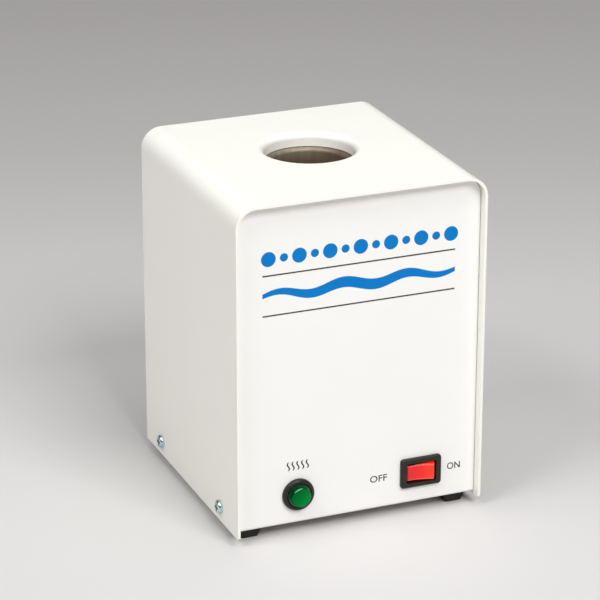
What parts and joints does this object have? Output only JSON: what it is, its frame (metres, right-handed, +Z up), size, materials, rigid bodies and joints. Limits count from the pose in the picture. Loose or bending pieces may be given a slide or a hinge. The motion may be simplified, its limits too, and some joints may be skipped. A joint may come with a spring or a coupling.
{
  "type": "glass bead sterilizer",
  "caption": "Benchtop dry sterilizer: folded sheet cover with a round top opening over a heated bead well, rocker switch and pilot lamp in front, power inlet behind.",
  "frame": {"origin": "on the floor, under the middle of the cover", "axes": "+Z up; the front panel with the switch faces -Y; +X is to the right as seen from the front"},
  "size_m": [0.1292, 0.127, 0.168],
  "materials": {
    "cover_paint": "fine powder coat, satin",
    "panel_paint": "fine powder coat, satin",
    "zinc": "bright zinc plate",
    "bare_steel": "bare sheet",
    "well_metal": "brown heat tint",
    "heater_sheath": "dull sheath",
    "fibre": "matte felted fibre",
    "aluminium": "drawn cap",
    "brass": "tinned blade",
    "black_plastic": "fine satin moulding",
    "rocker_red": "translucent, lit from inside",
    "lens_green": "translucent, gloss",
    "rubber": "matte moulding"
  },
  "bodies": {
    "housing": {"cover": "cover_paint", "chassis": "panel_paint", "cover_screws": "zinc", "cover_nuts": "zinc", "foot_front_left": "rubber", "foot_rear_left": "rubber", "foot_front_right": "rubber", "foot_rear_right": "rubber", "well": "well_metal", "well_gasket": "fibre", "band_heater": "heater_sheath", "heater_clamp_screw": "zinc", "heater_clamp_nut": "zinc", "heater_terminals": "brass", "insulation_sleeve": "fibre", "insulation_disc": "fibre", "carrier_tray": "bare_steel", "standoffs": "zinc", "standoff_screws": "zinc", "thermostat_cap": "aluminium", "thermostat_body": "black_plastic", "thermostat_terminals": "brass", "thermostat_screws": "zinc", "switch_housing": "black_plastic", "switch_terminals": "brass", "lamp_bezel": "black_plastic", "lamp_lens": "lens_green", "lamp_nut": "black_plastic", "lamp_insert": "black_plastic", "lamp_terminals": "brass", "inlet_housing": "black_plastic", "inlet_pins": "brass", "inlet_screws": "zinc", "inlet_nuts": "zinc", "earth_stud": "zinc", "earth_nut": "zinc"},
    "rocker": {"rocker": "rocker_red"}
  },
  "joints": [
    {"name": "switch_rocker", "type": "hinge", "parent": "housing", "child": "rocker", "pos_m": [0.0325, -0.0574, 0.0218], "axis": [0, 0, 1], "range_deg": [0, 20]}
  ]
}
